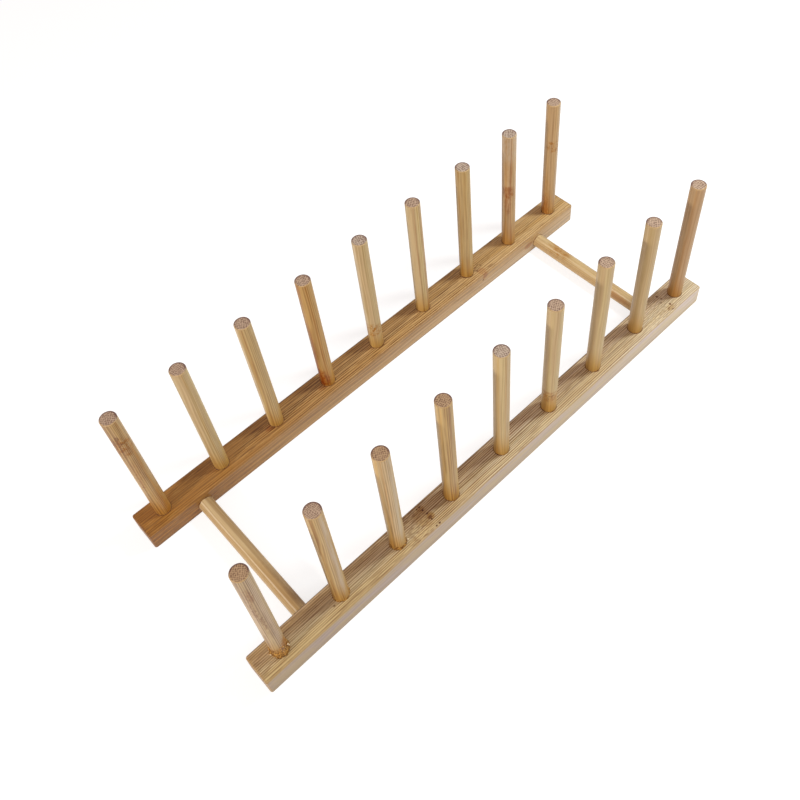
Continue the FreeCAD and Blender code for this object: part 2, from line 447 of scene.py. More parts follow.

# Each peg: tone, ground of its top, strength of its fibre lines and of its broad bands, marks as
# (direction in plan, height above the rail, half width, half height, strength, stain), and streaks as
# (direction in plan, half width, strength, stain). Directions are in degrees, and lengths in mm. The pale
# streaks on some pegs' left sides and the grey ones on their right sides are painted light.
PEG_WOOD = {
    "back_peg_1": (
        AMBER, CUT_ROSE, 0.4, 1.2,
        [
            (236, 70, 8.0, 11.0, 0.8, SCAR),
            (262, 66, 3.2, 4.5, 0.3, RUST),
            (222, 74, 3.2, 4.5, 0.25, RUST),
            (250, 47, 3.6, 14.0, 0.3, RUST),
            (228, 38, 0.8, 15.0, 0.6, RUST),
            (290, 10, 4.5, 26.0, 0.7, GOLDEN),
            (196, 6, 4.5, 18.0, 0.4, GOLDEN),
            (240, 78, 1.1, 2.4, 0.7, BROWN),
            (256, 73, 1.1, 1.8, 0.7, BROWN),
            (218, 75, 1.1, 1.8, 0.6, BROWN),
        ],
        [(292, 1.6, 0.9, GOLDEN), (200, 0.8, 0.6, GOLDEN)],
    ),
    "back_peg_2": (STRAW, CUT_ROSE, 0.3, 0.6, [], [(262, 0.8, 0.4, GOLDEN)]),
    # Its wide pale streak on the left side is painted light.
    "back_peg_3": (HONEY, CUT_ROSE, 0.35, 0.6, [], [(225, 0.8, 0.35, RUST), (174, 2.6, 0.6, PAINTED_LIGHT_CREAM)]),
    "back_peg_4": (
        GOLD, CUT_ROSE, 0.4, 0.8,
        [
            (186, 7, 6.0, 12.0, 0.8, RUST),
            (182, 34, 3.0, 28.0, 0.35, RUST),
            (200, 7, 6.0, 11.0, 1.0, SCAR),
        ],
        [(180, 2.6, 0.65, RUST), (250, 0.8, 0.6, GOLDEN)],
    ),
    "back_peg_5": (
        STRAW, CUT_GREY, 0.25, 0.7,
        [(222, 17.0, 7.5, 7.0, 1.0, SCAR)],
        # The wide pale streak on its left side is painted light.
        [(174, 2.4, 0.45, PAINTED_LIGHT_CREAM)],
    ),
    "back_peg_6": (
        STRAW, CUT_ROSE, 0.4, 0.5,
        [],
        [(285, 0.7, 0.8, RUST), (305, 0.6, 1.0, RUST), (262, 0.5, 0.6, GOLDEN), (232, 0.4, 0.5, RUST)],
    ),
    "back_peg_7": (HONEY, CUT_GREY, 0.3, 0.9, [], [(190, 0.9, 0.7, GOLDEN)]),
    "back_peg_8": (
        BUFF, CUT_GREY, 0.4, 0.8,
        [
            (216, 47, 5.0, 6.5, 0.8, RUST),
            (222, 46, 5.5, 7.0, 0.5, SCAR),
            (212, 36, 2.8, 11.0, 0.6, RUST),
            (225, 64, 3.0, 14.0, 0.25, RUST),
            (231, 84, 9.0, 18.0, 0.5, DOVE),
        ],
        [(240, 0.5, 0.6, RUST), (200, 0.9, 0.5, GOLDEN)],
    ),
    "back_peg_9": (
        BUFF, CUT_ROSE, 0.3, 0.7,
        [
            (252, 59, 6.5, 6.0, 0.8, SCAR),
            (190, 12, 4.5, 30.0, 0.5, GOLDEN),
            (185, 6, 3.6, 14.0, 0.5, RUST),
        ],
        # The grey streak on its right side is painted light.
        [(294, 2.0, 0.4, DOVE)],
    ),
    "front_peg_1": (
        ASH, CUT_TAN, 0.5, 0.8,
        [
            (236, 66, 3.0, 24.0, 0.35, BRUISE),
            (230, 58, 0.9, 16.0, 0.9, BRUISE),
            (262, 40, 2.4, 20.0, 0.4, BRUISE),
            (248, 46, 0.8, 13.0, 0.9, BRUISE),
            (246, 74, 2.0, 9.0, 0.5, RUST),
            (188, 2.0, 5.0, 9.0, 1.0, OCHRE),
            (240, 0.0, 5.0, 7.0, 1.0, OCHRE),
            (240, 3.0, 7.0, 9.0, 0.8, OCHRE),
            (300, 4.0, 5.0, 14.0, 1.0, GOLDEN),
            (318, 7.0, 4.0, 13.0, 0.8, OCHRE),
        ],
        [],
    ),
    "front_peg_2": (
        HONEY, CUT_ROSE, 0.4, 0.9,
        [],
        # The grey streak on its right side is painted light.
        [(185, 1.4, 0.9, GOLDEN), (214, 0.6, 0.5, RUST), (286, 2.2, 0.6, DOVE)],
    ),
    "front_peg_3": (
        STRAW, CUT_TAN, 0.5, 0.9,
        [],
        # The pale streak on its left side and the grey one on its right are painted light.
        [(186, 1.8, 0.8, PAINTED_LIGHT_GILT), (228, 0.6, 0.6, GOLDEN), (282, 2.0, 0.5, DOVE)],
    ),
    # Its pale streak on the left side is painted light.
    "front_peg_4": (HONEY, CUT_TAN, 0.5, 0.9, [], [(192, 1.8, 0.7, PAINTED_LIGHT_GILT), (262, 0.5, 0.5, RUST)]),
    # Its pale streak on the left side is painted light.
    "front_peg_5": (STRAW, CUT_GREY, 0.3, 0.9, [], [(196, 1.6, 0.6, PAINTED_LIGHT_GILT), (252, 0.8, 0.4, GOLDEN)]),
    "front_peg_6": (
        STRAW, CUT_ROSE, 0.2, 0.7,
        [
            (224, 19.0, 7.5, 1.3, 0.5, RUST),
            (224, 15.0, 6.5, 5.5, 0.75, SCAR),
            (225, 9.0, 5.4, 12.0, 0.5, GOLDEN),
            (214, 13.0, 0.7, 4.0, 0.6, BROWN),
            (234, 16.0, 2.8, 0.7, 0.5, BROWN),
            (246, 14.0, 0.6, 2.4, 0.4, BROWN),
        ],
        [],
    ),
    "front_peg_7": (STRAW, CUT_ROSE, 0.15, 0.7, [], []),
    "front_peg_8": (STRAW, CUT_ROSE, 0.15, 0.7, [], []),
    "front_peg_9": (ROSE, CUT_ROSE, 0.2, 0.7, [], [(205, 1.0, 0.5, GOLDEN)]),
}

# How squarely a face looks along the fibres where it begins to count as a cut end, and where it is one.
ROUND_END = (0.55, 0.85)
RAIL_END = (0.93, 0.995)
# How crooked the outlines of marks are on shafts and on rails, in mm.
SHAFT_CROOK = 3.0
RAIL_CROOK = 1.0

# The pegs' wood is coarser toward the right: density of the first peg, fall from peg to peg, and the last
# peg before the fall. Fibres are packed more densely than pores, and each peg's pores are turned further.
PEG_DENSITY = {"back": (1.0, 0.045, 1), "front": (1.08, 0.05, 3)}
LEAST_PEG_DENSITY = 0.76
FIBRES_TO_PORES = 1.3
PORE_TURN = 0.7
# Broken dashes within the marks: size, step, and how much shows between them.
DASH = (0.7, 3.2)
DASH_STEP = (0.4, 0.58)
DASH_GROUND = 0.5
# The foot, darker and warmer partly from glue the wood drank and partly as painted warm shade and bounce
# light from the rail: how high, in mm, how strongly, and the warm tone of it.
SOAK_AND_SHADE_HEIGHT = 24.0
SOAK_AND_SHADE_SHARE = 0.8
SOAK_AND_SHADE_TONE = srgb(244, 212, 132)
# The top's far rim, painted in shade because its chamfer faces away from the camera and the lamps: its
# direction in plan, how far in from the edge it starts and is full, where it starts toward that direction,
# in mm, how squarely it looks up, its strength and its colour.
AWAY = 51
RIM_WIDTH = 1.1
RIM_EDGE = 0.5
RIM_TURN = (-1.5, 1.5)
RIM_UPWARD = (0.3, 0.6)
RIM_SHARE = 0.9
RIM_PAINTED_SHADE = srgb(98, 62, 54)
# The near rim, painted pale as a highlight where its chamfer catches the light: how squarely it looks up,
# where it starts, its strength and its colour.
LIT_RIM_UPWARD = (0.7, 0.25)
LIT_RIM_TURN = (-0.5, -2.5)
LIT_RIM_SHARE = 0.6
RIM_PAINTED_HIGHLIGHT = srgb(196, 164, 112)


def peg_material(name, seed, density):
    """Turned bamboo with its own marks and streaks, a foot with drunk glue and painted warm shade, and a
    sawn top with painted shade and highlight on its rim.
    """
    tone, cut, lines, bands, marks, stripes = PEG_WOOD[name]
    made, tree = new_material(name + "_wood")
    low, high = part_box(name)
    radius = (high.x - low.x) / 2 / MM
    foot = Vector(((low.x + high.x) / 2, (low.y + high.y) / 2, RAIL_TOP))
    straight, shifted = grain_space(tree, "Z", foot, seed)
    upward = facing(tree, 2)
    cut_end = ease(tree, upward, *ROUND_END)
    fibres, turn = FIBRES_TO_PORES * density, PORE_TURN * seed
    wood, relief = bamboo(tree, shifted, tone, lines, bands, fibres, cut_end, cut, density, turn)
    colour = wood
    if marks:
        uneven = crooked(tree, straight, shifted, SHAFT_CROOK)
        dashes = ease(tree, streaks(tree, shifted, *DASH), *DASH_STEP)
        dashes = between(tree, dashes, DASH_GROUND, 1.0)
        scars = scrawl(tree, shifted)
    for angle, height, half_width, half_height, strength, stain in marks:
        turn = math.radians(angle)
        middle = (radius * math.cos(turn), radius * math.sin(turn), height)
        size = (half_width, half_width, half_height)
        strength = product(tree, scars if stain is SCAR else dashes, strength)
        colour = mark(tree, uneven, colour, middle, size, strength, stain)
    for angle, half_width, strength, stain in stripes:
        colour = stripe(tree, straight, shifted, colour, angle, half_width, strength, stain)
    # The foot: glue it drank, and painted warm shade and bounce light from the rail.
    x, y, above = split(tree, straight)
    soak_and_shade = product(tree, ease(tree, above, SOAK_AND_SHADE_HEIGHT, 0.0), SOAK_AND_SHADE_SHARE)
    colour = blend_colour(tree, soak_and_shade, colour, SOAK_AND_SHADE_TONE, "MULTIPLY")
    colour = blend_colour(tree, cut_end, colour, wood)
    # The rim of the top: painted shade on its far side, and a painted highlight on its near side.
    ahead, _ = toward(tree, straight, AWAY)
    outward = calc(tree, "SQRT", calc(tree, "MULTIPLY_ADD", x, x, product(tree, y, y)))
    # Painted shade on the chamfer of the far rim.
    rim_shade = ease(tree, outward, radius - RIM_WIDTH / density, radius - RIM_EDGE)
    rim_shade = product(tree, rim_shade, ease(tree, ahead, *RIM_TURN), ease(tree, upward, *RIM_UPWARD), RIM_SHARE)
    colour = blend_colour(tree, rim_shade, colour, RIM_PAINTED_SHADE)
    # Painted highlight on the chamfer of the near rim.
    rim_highlight = product(tree, near(tree, upward, *LIT_RIM_UPWARD), ease(tree, ahead, *LIT_RIM_TURN), LIT_RIM_SHARE)
    satin(tree, blend_colour(tree, rim_highlight, colour, RIM_PAINTED_HIGHLIGHT), relief)
    return made


# Dashes at a culm node: size in mm, how far they reach from the middle of their stretch, in stretches,
# the steps that draw the dark and the light ones, and their strengths.
NODE_DASH = (0.5, 2.8)
NODE_REACH = 0.7
NODE_DARK_STEP = (0.02, 0.14)
NODE_LIGHT_STEP = (-0.02, -0.14)
NODE_DARK_SHARE = 0.5
NODE_LIGHT_SHARE = 0.35
# Flecks: size of one and of the patches that have many, in mm, and the steps for dark and pale ones.
FLECK = (0.75, 9.0)
FLECK_PATCH = (5.0, 30.0)
DARK_FLECK_STEP = (0.52, 0.66)
PALE_FLECK_STEP = (0.48, 0.34)


def mottled(tree, shifted, along, colour, start, end, strength):
    """A stretch near a culm node where the fibre lines break up into short dashes."""
    zone = product(tree, near(tree, along, (start + end) / 2, (end - start) * NODE_REACH), strength)
    short = centred(tree, streaks(tree, shifted, *NODE_DASH, detail=0.0))
    dark = product(tree, zone, ease(tree, short, *NODE_DARK_STEP), NODE_DARK_SHARE)
    light = product(tree, zone, ease(tree, short, *NODE_LIGHT_STEP), NODE_LIGHT_SHARE)
    colour = blend_colour(tree, dark, colour, NODE_DARK)
    return blend_colour(tree, light, colour, NODE_LIGHT)


def flecked(tree, shifted, colour, dark, strength):
    """Short broken fibres, a few millimetres long, some darker than the wood and some that gleam."""
    short = streaks(tree, shifted, *FLECK)
    patches = ease(tree, streaks(tree, shifted, *FLECK_PATCH), *SOFT_STEP)
    patches = product(tree, patches, strength)
    deep = product(tree, ease(tree, short, *DARK_FLECK_STEP), patches)
    pale = product(tree, ease(tree, short, *PALE_FLECK_STEP), patches)
    return blend_colour(tree, pale, blend_colour(tree, deep, colour, dark), GLEAM, "SCREEN")


# Where along a rail, in mm from its middle, its fibre lines change from their left strength to the middle
# one and on to the right one, and where the left end of the side starts to look like the top.
LINES_LEFT = (-115.0, -40.0)
LINES_RIGHT = (0.0, 130.0)
SIDE_LEFT_END = (-70.0, -125.0)
# Across a rail's top, in mm from its middle line: where the far part, on which the pegs' shadows fall, is
# lifted with painted light, and where it takes a painted reddish shade tint.
PAINTED_LIGHT_SPAN = (-3.0, 7.0)
SHADE_TINT_SPAN = (-3.0, 4.0)
# The side: bands and density of its fibres, size and step of its clouds, heights, in mm, of its foot and
# of the part that looks like the top, and the strength of the foot.
SIDE_BANDS = 0.45
SIDE_DENSITY = 0.6
SIDE_CLOUD = (6.0, 26.0)
SIDE_CLOUD_STEP = (0.4, 0.62)
SIDE_FOOT = (9.0, 2.0)
SIDE_UPPER = (4.0, 13.0)
SIDE_FOOT_SHARE = 0.7
# How squarely a face looks sideways where top turns into side, and where it is an edge between them, what
# is near and far, in mm from the rail's middle line, and the strength of the painted shade on the far
# edge.
SIDE_FACING = (0.5, 0.9)
EDGE_FACING = (0.3, 0.62)
NEAR_SIDE = (0.0, -1.0)
FAR_SIDE = (0.0, 1.0)
FAR_EDGE_SHADE_SHARE = 0.55
# The corners at a rail's ends: how squarely they look along it, and how strongly they take the darker edge
# colour.
CORNER_FACING = (0.6, 0.55)
CORNER_SHARE = 0.5


def rail_material(name, seed, look):
    """Fine lines along the top, a smoother side, darker edges with painted shade on the far ones, painted
    light and shade on the top's far half, and a drift of tone along the rail.
    """
    made, tree = new_material(name + "_wood")
    low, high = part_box(name)
    straight, shifted = grain_space(tree, "X", Vector((0, (low.y + high.y) / 2, 0)), seed)
    across, height, along = split(tree, straight)
    length = (high.x - low.x) / MM
    drift = calc(tree, "MULTIPLY_ADD", along, 1 / length, 0.5)
    top_tone = [blend_colour(tree, drift, *pair) for pair in zip(look["top_left"], look["top_right"])]
    side_tone = [blend_colour(tree, drift, *pair) for pair in zip(look["side_left"], look["side_right"])]
    endward, sideward = facing(tree, 0), facing(tree, 1)
    cut_end = ease(tree, endward, *RAIL_END)
    # The top.
    left_lines, middle_lines, right_lines = look["lines"]
    lines = between(tree, ease(tree, along, *LINES_LEFT), left_lines, middle_lines)
    rise = right_lines - middle_lines
    lines = calc(tree, "MULTIPLY_ADD", ease(tree, along, *LINES_RIGHT), rise, lines)
    bands, density = look["bands"], look["density"]
    top, relief = bamboo(tree, shifted, top_tone, lines, bands, density, cut_end, CUT_BROWN)
    # Painted light and a painted reddish shade tint on the far half of the top, where the pegs' shadows
    # fall.
    far_light = product(tree, ease(tree, across, *PAINTED_LIGHT_SPAN), look["far_painted_light"])
    top = blend_colour(tree, far_light, top, top_tone[0])
    top = blend_colour(tree, ease(tree, across, *SHADE_TINT_SPAN), top, look["far_shade_tint"], "MULTIPLY")
    top = flecked(tree, shifted, top, top_tone[1], look["flecks"])
    for stretch in look["mottled"]:
        top = mottled(tree, shifted, along, top, *stretch)
    # The sides.
    side_lines = look["side_lines"]
    side, _ = bamboo(tree, shifted, side_tone, side_lines, SIDE_BANDS, SIDE_DENSITY, cut_end, CUT_BROWN)
    clouds = ease(tree, streaks(tree, shifted, *SIDE_CLOUD, detail=2.0), *SIDE_CLOUD_STEP)
    side = blend_colour(tree, product(tree, clouds, look["side_clouds"]), side, side_tone[2])
    low_down = product(tree, ease(tree, height, *SIDE_FOOT), SIDE_FOOT_SHARE)
    side = blend_colour(tree, low_down, side, look["side_foot"], "MULTIPLY")
    like_top = product(tree, ease(tree, height, *SIDE_UPPER), look["side_like_top"])
    if look["side_like_top_left"]:
        left_end = product(tree, ease(tree, along, *SIDE_LEFT_END), look["side_like_top_left"])
        like_top = calc(tree, "MAXIMUM", like_top, left_end)
    side = blend_colour(tree, like_top, side, top)
    colour = blend_colour(tree, ease(tree, sideward, *SIDE_FACING), top, side)
    uneven = crooked(tree, straight, shifted, RAIL_CROOK)
    for *middle, half_across, half_along, strength, stain in look["marks"]:
        size = (half_across, half_across, half_along)
        colour = mark(tree, uneven, colour, middle, size, strength, stain)
    # The edges between top and sides, and the corners at the ends.
    edge = ease(tree, calc(tree, "MINIMUM", sideward, facing(tree, 2)), *EDGE_FACING)
    # A darker line along the near edge, and at the end corners below.
    near_edge = product(tree, edge, ease(tree, across, *NEAR_SIDE), look["edge_darkening"])
    colour = blend_colour(tree, near_edge, colour, look["edge"])
    # Painted shade on the far edge, which turns away from the camera and the lamps.
    far_edge_shade = product(tree, edge, ease(tree, across, *FAR_SIDE), FAR_EDGE_SHADE_SHARE)
    colour = blend_colour(tree, far_edge_shade, colour, look["far_edge_shade"])
    corner = product(tree, near(tree, endward, *CORNER_FACING), CORNER_SHARE)
    satin(tree, blend_colour(tree, corner, colour, look["edge"]), relief)
    return made


DOWEL_BANDS = 0.45
DOWEL_DENSITY = 0.95
DOWEL_ROUGHNESS = 0.44


def dowel_material(name, seed, lines, marks, stripes):
    """Paler and smoother than the pegs."""
    made, tree = new_material(name + "_wood")
    low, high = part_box(name)
    radius = (high.x - low.x) / 2 / MM
    straight, shifted = grain_space(tree, "Y", (low + high) / 2, seed)
    cut_end = ease(tree, facing(tree, 1), *ROUND_END)
    colour, relief = bamboo(tree, shifted, PALE, lines, DOWEL_BANDS, DOWEL_DENSITY, cut_end, CUT_TAN)
    uneven = crooked(tree, straight, shifted, SHAFT_CROOK)
    for place, angle, half_width, half_length, strength, stain in marks:
        turn = math.radians(angle)
        middle = (radius * math.sin(turn), radius * math.cos(turn), place)
        size = (half_width, half_width, half_length)
        if stain is SCAR:
            strength = product(tree, scrawl(tree, shifted), strength)
        colour = mark(tree, uneven, colour, middle, size, strength, stain)
    for angle, half_width, strength, stain in stripes:
        colour = stripe(tree, straight, shifted, colour, 90 - angle, half_width, strength, stain)
    satin(tree, colour, relief, DOWEL_ROUGHNESS)
    return made


def dress(name, material):
    """Give a carried-over piece its wood in every material slot."""
    for slot in nodes[name].material_slots:
        slot.material = material


for row_index, row in enumerate(("back", "front")):
    first_density, fall, last_level = PEG_DENSITY[row]
    for number in PEG_NUMBERS:
        peg = f"{row}_peg_{number}"
        density = max(LEAST_PEG_DENSITY, first_density - fall * max(0, number - last_level))
        dress(peg, peg_material(peg, row_index * len(PEG_NUMBERS) + number, density))

# The rails: tones of top and side at each end, and strengths of what shows there. Lines are for the left
# end, the middle and the right end. Mottled stretches are (start, end, strength). Marks are (distance from
# the middle line, height above the table, place along the rail, half size across, half size along,
# strength, stain).
RAIL_WOOD = {
    "front_rail": {
        "top_left": (srgb(208, 187, 144), srgb(124, 86, 46), srgb(203, 178, 122)),
        "top_right": (srgb(221, 208, 180), srgb(146, 115, 80), srgb(215, 197, 156)),
        "lines": (0.5, 1.05, 0.62),
        "density": 0.95,
        "flecks": 0.4,
        "bands": 0.15,
        "far_painted_light": 0.0,
        "far_shade_tint": srgb(255, 246, 245),
        "side_left": (srgb(181, 166, 156), srgb(148, 128, 112), srgb(183, 163, 122)),
        "side_right": (srgb(221, 208, 198), srgb(186, 168, 150), srgb(218, 201, 162)),
        "side_lines": 0.3,
        "side_clouds": 0.75,
        "side_foot": srgb(236, 232, 218),
        "side_like_top": 0.0,
        "side_like_top_left": 0.0,
        "edge": srgb(160, 126, 74),
        "edge_darkening": 0.5,
        "far_edge_shade": srgb(110, 80, 58),
        "mottled": [(-72.0, -55.0, 1.0), (116.0, 148.0, 0.85)],
        "marks": [
            (6.3, 14.5, -57.2, 0.65, 0.65, 1.0, PORE),
            (6.1, 14.5, -55.3, 0.65, 0.9, 1.0, PORE),
            (3.7, 14.5, -55.2, 0.65, 0.75, 1.0, PORE),
            (0.8, 14.5, -54.8, 0.7, 1.0, 1.0, PORE),
            (-1.7, 14.5, -55.0, 0.9, 1.5, 0.7, BROWN),
            (-3.2, 14.5, -55.1, 0.65, 0.65, 1.0, PORE),
            (-7.6, 14.5, -55.8, 0.65, 0.75, 1.0, PORE),
            (-7.5, 14.5, -53.7, 0.65, 0.75, 1.0, PORE),
            (1.0, 14.5, -58.0, 7.5, 6.0, 0.5, OCHRE),
            (-2.0, 14.5, -40.0, 9.0, 34.0, 0.22, OCHRE),
            (-3.0, 14.5, 72.0, 8.0, 52.0, 0.28, OCHRE),
            (5.2, 14.5, -55.6, 2.6, 2.6, 0.6, OCHRE),
            (-1.4, 14.5, -54.2, 2.8, 2.8, 0.8, OCHRE),
            (5.2, 14.5, 141.8, 1.1, 1.1, 0.85, BROWN),
            (2.3, 14.5, 142.4, 0.8, 0.8, 0.85, BROWN),
            (0.5, 14.5, 139.8, 0.8, 1.2, 0.6, BROWN),
            (-3.9, 14.5, 142.8, 1.0, 1.0, 0.95, BROWN),
            (-5.9, 14.5, 140.8, 2.2, 3.6, 0.5, OCHRE),
            (-7.4, 14.5, 141.0, 0.8, 0.9, 0.7, BROWN),
            (-5.4, 14.5, 139.4, 0.8, 1.4, 0.6, BROWN),
            (-2.6, 14.5, -120.4, 0.7, 0.9, 0.6, BROWN),
        ],
    },
    "back_rail": {
        "top_left": (srgb(171, 119, 54), srgb(88, 50, 16), srgb(165, 110, 44)),
        "top_right": (srgb(212, 180, 127), srgb(126, 86, 43), srgb(202, 161, 94)),
        "lines": (0.35, 1.15, 0.45),
        "density": 0.78,
        "flecks": 0.42,
        "bands": 0.2,
        "far_painted_light": 0.3,
        "far_shade_tint": srgb(255, 252, 250),
        "side_left": (srgb(180, 134, 60), srgb(124, 83, 28), srgb(180, 137, 70)),
        "side_right": (srgb(215, 195, 164), srgb(168, 140, 108), srgb(208, 180, 138)),
        "side_lines": 0.5,
        "side_clouds": 0.3,
        "side_foot": srgb(250, 248, 240),
        "side_like_top": 0.6,
        "side_like_top_left": 0.9,
        "edge": srgb(120, 78, 36),
        "edge_darkening": 0.3,
        "far_edge_shade": srgb(84, 54, 34),
        "mottled": [],
        "marks": [
            (-2.3, 14.5, 80.0, 0.7, 2.2, 0.6, BROWN),
            (-1.0, 14.5, 82.6, 0.7, 1.7, 0.65, BROWN),
            (-0.4, 14.5, 85.0, 0.7, 1.3, 0.65, BROWN),
            (-1.8, 14.5, 86.3, 1.1, 0.8, 0.55, BROWN),
            (-3.9, 14.5, 81.6, 0.8, 0.8, 0.8, BROWN),
            (-6.2, 14.5, 83.5, 3.2, 3.6, 0.4, RUST),
            (-6.6, 14.5, 90.2, 0.7, 3.2, 0.5, BROWN),
            (-8.75, 12.0, 84.0, 3.0, 2.8, 0.6, RUST),
            (-8.75, 9.5, 82.0, 1.0, 1.0, 0.9, BROWN),
            (7.8, 14.5, 105.3, 1.0, 1.0, 0.8, BROWN),
            (-1.6, 14.5, -81.0, 2.6, 4.5, 0.6, RUST),
            (-1.6, 14.5, -43.0, 2.4, 4.0, 0.5, RUST),
            (-8.75, 8.4, -126.6, 0.5, 3.4, 0.7, BROWN),
            (-8.75, 6.6, -126.0, 0.4, 2.6, 0.6, BROWN),
            # The right dowel's painted shadow on the rail's inner side.
            (-8.75, 8.0, 124.0, 3.0, 4.5, 0.6, RUST),
        ],
    },
}
for rail, seed in (("front_rail", 31), ("back_rail", 32)):
    dress(rail, rail_material(rail, seed, RAIL_WOOD[rail]))

# The dowels: seed, strength of the fibre lines, marks as (place along, direction, half width, half
# length, strength, stain), and streaks as (direction, half width, strength, stain). Directions are in
# degrees, from the right and up. The thin pale streak along each dowel is a painted highlight, and the
# left dowel's wide grey streak on its left side is painted light.
DOWEL_WOOD = {
    "left_cross_dowel": (
        41,
        0.2,
        [(-26, 100, 3.0, 32.0, 0.35, OCHRE)],
        # A painted highlight along the top, and painted light on the left side.
        [(120, 0.6, 0.6, PAINTED_LIGHT_CREAM), (188, 2.6, 0.6, DOVE), (72, 1.6, 0.3, TAN), (36, 1.4, 0.6, TAN)],
    ),
    "right_cross_dowel": (
        42,
        0.3,
        [
            (22, 80, 5.0, 10.0, 0.5, OCHRE),
            (24, 95, 6.0, 11.0, 0.6, SCAR),
            (-24, 150, 3.2, 16.0, 0.5, RUST),
        ],
        # A painted highlight along the top.
        [(120, 0.6, 0.5, PAINTED_LIGHT_CREAM), (45, 1.4, 0.5, TAN)],
    ),
}
for dowel, wood in DOWEL_WOOD.items():
    dress(dowel, dowel_material(dowel, *wood))

# Glue that was squeezed out where pegs and dowels enter the rails, with thin beads whose dark colour is
# painted contact shade

# Steps round a bead, levels up its slope, and how deep it sinks into the wood, in mm.
BEAD_STEPS = 72
BEAD_LEVELS = 7
BEAD_SINK = 0.06
# Patches of thin and thick glue, per metre, and the step between them.
GLUE_PATCHES = 1300.0
GLUE_STEP = (0.36, 0.66)


def glue_material(name, dark, light, roughness):
    """Hard glue, dark where it is thin over the wood's pores."""
    made, tree = new_material(name)
    place = add_node(tree, "ShaderNodeTexCoord").outputs["Object"]
    patches = {"Vector": place, "Scale": GLUE_PATCHES, "Detail": 2.0}
    thickness = add_node(tree, "ShaderNodeTexNoise", patches).outputs["Fac"]
    colour = blend_colour(tree, ease(tree, thickness, *GLUE_STEP), dark, light)
    satin(tree, colour, thickness, roughness)
    return made


# Its dark colour is painted contact shade where feet and dowels meet the rails.
GLUE_DARK_AS_CONTACT_SHADE = glue_material("glue_dark_as_contact_shade", srgb(84, 50, 22), srgb(138, 92, 44), roughness=0.6)
AMBER_GLUE = glue_material("amber_glue", srgb(108, 64, 20), srgb(212, 162, 82), roughness=0.3)
# Its pale colour is a painted glint on the glue drops.
GLINT_PAINTED_GLUE = glue_material("glue_with_painted_glint", srgb(226, 196, 140), srgb(250, 236, 204), roughness=0.15)


def uneven_by(place, rate, shift, amount, least=0.0):
    """A factor of about 1 that changes from place to place, and is never under `least`."""
    return max(least, 1.0 + amount * noise.noise(place * rate + Vector(shift)))


def bead(shape, middle, axes, radius, width, height, lumps, seed):
    """An uneven fillet of glue round a shaft, in mm. The axes are two across the shaft and one along."""
    across, beside, along = axes
    rows = []
    for step in range(BEAD_STEPS):
        turn = math.tau * step / BEAD_STEPS
        outward = across * math.cos(turn) + beside * math.sin(turn)
        reach = width * uneven_by(outward, rate=1.7, shift=(seed * 5.3, 0.0, 0.0), amount=1.5, least=0.25)
        rise = height * uneven_by(outward, rate=2.3, shift=(0.0, seed * 3.7, 9.0), amount=1.5, least=0.4)
        profile = [(-BEAD_SINK, -BEAD_SINK), (reach, -BEAD_SINK)]
        for level in range(1, BEAD_LEVELS):
            share = level / BEAD_LEVELS
            place = outward * radius + along * (rise * share)
            swell = uneven_by(place, rate=1.9, shift=(0.0, 0.0, seed * 1.7), amount=lumps, least=0.1)
            profile.append((reach * (1.0 - share) * swell, rise * share))
        profile.append((-BEAD_SINK, rise))
        places = [middle + outward * (radius + out) + along * up for out, up in profile]
        rows.append([shape.verts.new(place * MM) for place in places])
    count = len(rows[0])
    for row, following in zip(rows, rows[1:] + rows[:1]):
        for first in range(count):
            second = (first + 1) % count
            shape.faces.new((row[first], following[first], following[second], row[second]))


def crumb(shape, middle, size, seed):
    """A hard lump of glue, rough all round."""
    made = bmesh.ops.create_icosphere(shape, subdivisions=2, radius=1.0)
    for corner in made["verts"]:
        outward = corner.co.normalized()
        rough = uneven_by(outward, rate=1.6, shift=(seed * 2.9, seed * 1.3, 0.0), amount=0.45)
        corner.co = (middle + outward * (size * rough)) * MM


def glue_piece(name, shape, glue):
    bmesh.ops.recalc_face_normals(shape, faces=shape.faces)
    mesh = bpy.data.meshes.new(name)
    shape.to_mesh(mesh)
    shape.free()
    for face in mesh.polygons:
        face.use_smooth = True
    mesh.materials.append(glue)
    piece = bpy.data.objects.new(name, mesh)
    bpy.context.scene.collection.objects.link(piece)
    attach(piece, "root")


def shaft(name):
    """The middle and the radius of a peg or dowel, in mm."""
    low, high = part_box(name)
    return (low + high) / 2 / MM, (high.x - low.x) / 2 / MM


def in_plan(angle):
    """The direction in plan at an angle in degrees."""
    turn = math.radians(angle)
    return Vector((math.cos(turn), math.sin(turn), 0))


ALONG_X, ALONG_Y, ALONG_Z = Vector((1, 0, 0)), Vector((0, 1, 0)), Vector((0, 0, 1))

# Glue at a peg's foot: width and height of the bead, how lumpy it is, and the number of crumbs on it with
# the largest half size, in mm. Three feet have a crust, and the others a thin bead whose dark colour is
# painted contact shade.
THIN_BEAD = (0.3, 0.3, 0.0, 0, 0.0)
CRUSTS = {
    "front_peg_1": (0.6, 6.4, 1.4, 16, 0.6),
    "front_peg_2": (0.3, 0.6, 0.8, 5, 0.35),
    "front_peg_3": (0.45, 2.4, 1.4, 8, 0.45),
}
# Crumbs: the directions in plan where they lie, their least share of the largest size, how far up they
# reach, in heights of the bead, and how far out they sit, in sizes of the crumb and widths of the bead.
CRUMB_ARC = (141, 341)
LEAST_CRUMB = 0.5
CRUMB_REACH = 1.2
CRUMB_OUT = 0.3
CRUMB_ON_BEAD = 0.2
# Glue drops beside a foot, pale and glossy as a painted glint: direction in plan, distance from the shaft,
# height and half size, in mm.
DROPS = {
    "front_peg_1": [(172, 0.7, 0.4, 0.55), (316, 0.5, 6.0, 0.5), (322, 0.7, 3.4, 0.45)],
    "front_peg_3": [(330, 0.9, 0.4, 0.6)],
}
